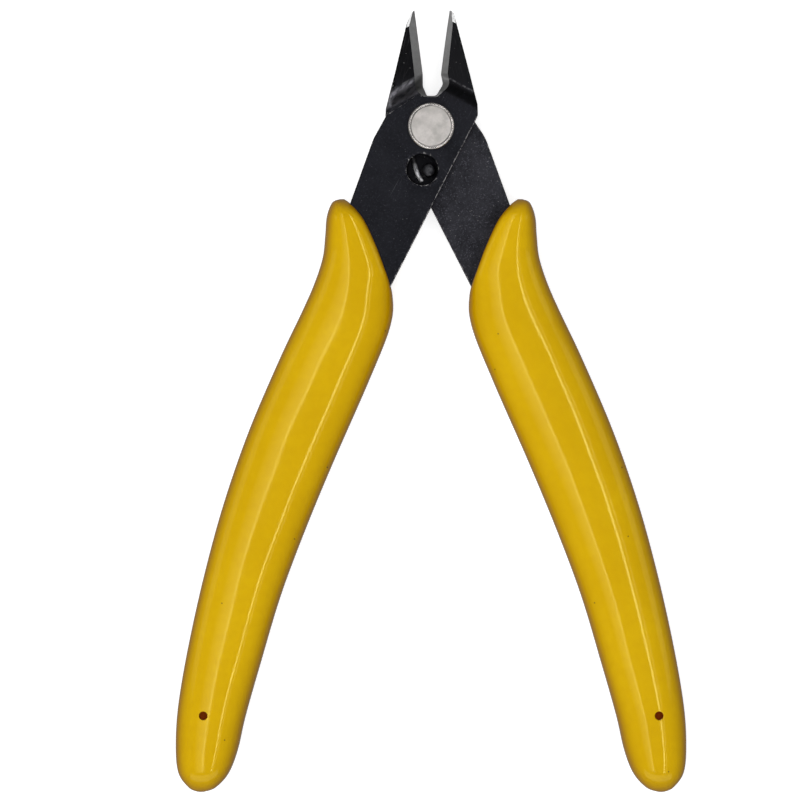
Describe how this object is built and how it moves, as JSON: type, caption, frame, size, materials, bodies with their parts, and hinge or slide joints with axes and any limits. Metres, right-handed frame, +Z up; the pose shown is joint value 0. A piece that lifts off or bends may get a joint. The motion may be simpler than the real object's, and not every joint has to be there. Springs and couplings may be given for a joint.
{
  "type": "flush cutter",
  "caption": "Hand flush cutter with lapped, riveted dark steel blades, narrow ground jaws sprung open and long curved yellow grips.",
  "frame": {"origin": "on the resting surface, under the middle of the tool's bounding box", "axes": "the tool lies flat: +X across it towards the right grip, +Y along it towards the jaw tips, +Z up out of the front blade"},
  "size_m": [0.083, 0.1271, 0.0095],
  "materials": {
    "front_blade_steel": "smooth black oxide",
    "rear_blade_steel": "slightly worn black oxide",
    "rivet_nickel": "satin nickel plate",
    "pin_steel": "dark blued steel",
    "spring_wire": "drawn spring wire",
    "grip_vinyl": "glossy moulded vinyl"
  },
  "bodies": {
    "front_half": {"front_blade": "front_blade_steel", "left_grip": "grip_vinyl", "pivot_rivet": "rivet_nickel", "return_spring": "spring_wire"},
    "rear_half": {"rear_blade": "rear_blade_steel", "right_grip": "grip_vinyl", "stop_pin": "pin_steel"}
  },
  "joints": [
    {"name": "pivot", "type": "hinge", "parent": "front_half", "child": "rear_half", "pos_m": [0, 0.0446, 0.00475], "axis": [0, 0, -1], "range_deg": [0, 17], "stiffness_Nm_per_rad": 0.6, "springref_deg": -8.59, "deforming": ["return_spring"]}
  ]
}
